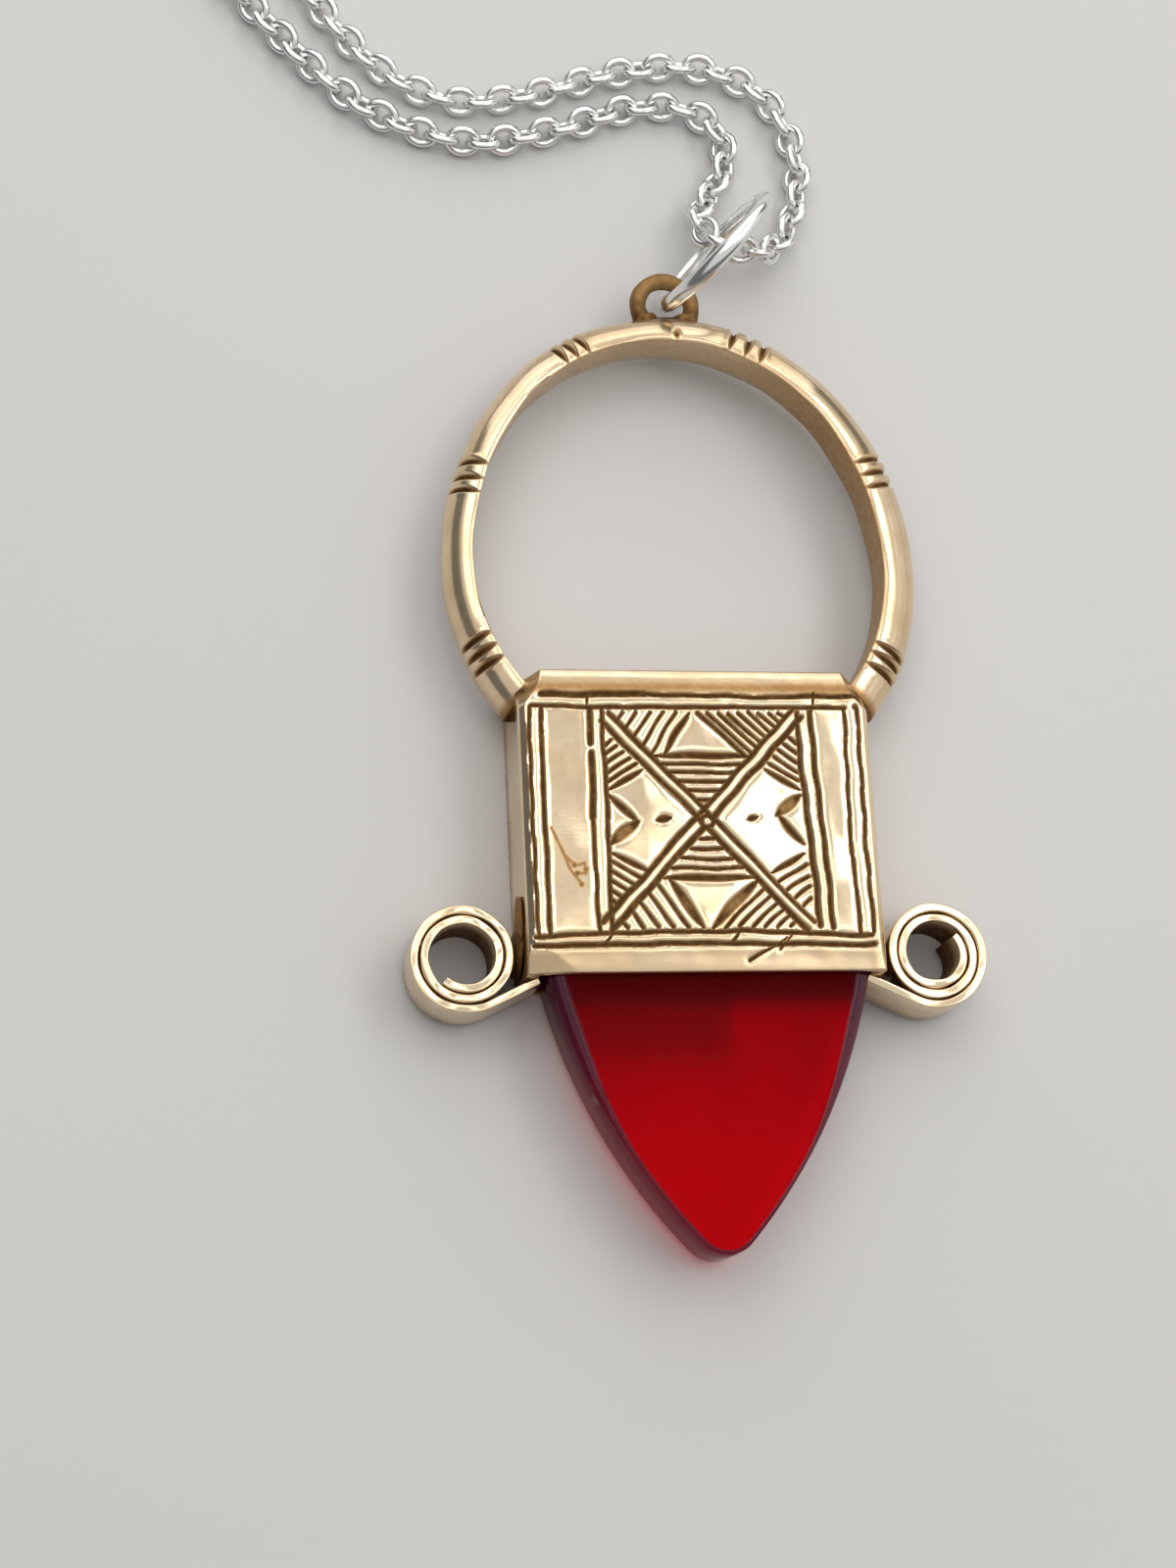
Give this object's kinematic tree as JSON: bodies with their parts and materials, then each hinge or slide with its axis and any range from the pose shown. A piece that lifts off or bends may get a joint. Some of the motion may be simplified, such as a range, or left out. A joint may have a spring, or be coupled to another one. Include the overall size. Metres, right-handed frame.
{
  "type": "pendant necklace",
  "caption": "Engraved silver case pendant with a wire hoop, two coiled scrolls and a red glass drop, hung from a jump ring on a fine silver link chain.",
  "frame": {"origin": "middle of the case's flat back, on the surface that the necklace lies on", "axes": "+Y runs up the pendant to its hoop and on to the chain's far end, +X to the right as seen from the front, +Z out of the pendant's front, away from the surface"},
  "size_m": [0.1164, 0.2155, 0.0096],
  "materials": {
    "silver_aged": "hand-polished silver with brown patina in the cuts",
    "silver_bright": "bright silver wire",
    "red_glass": "polished deep red glass"
  },
  "bodies": {
    "root": {"pendant_frame": "silver_aged", "red_stone": "red_glass", "jump_ring": "silver_bright", "chain": "silver_bright", "clasp": "silver_bright"}
  },
  "joints": []
}
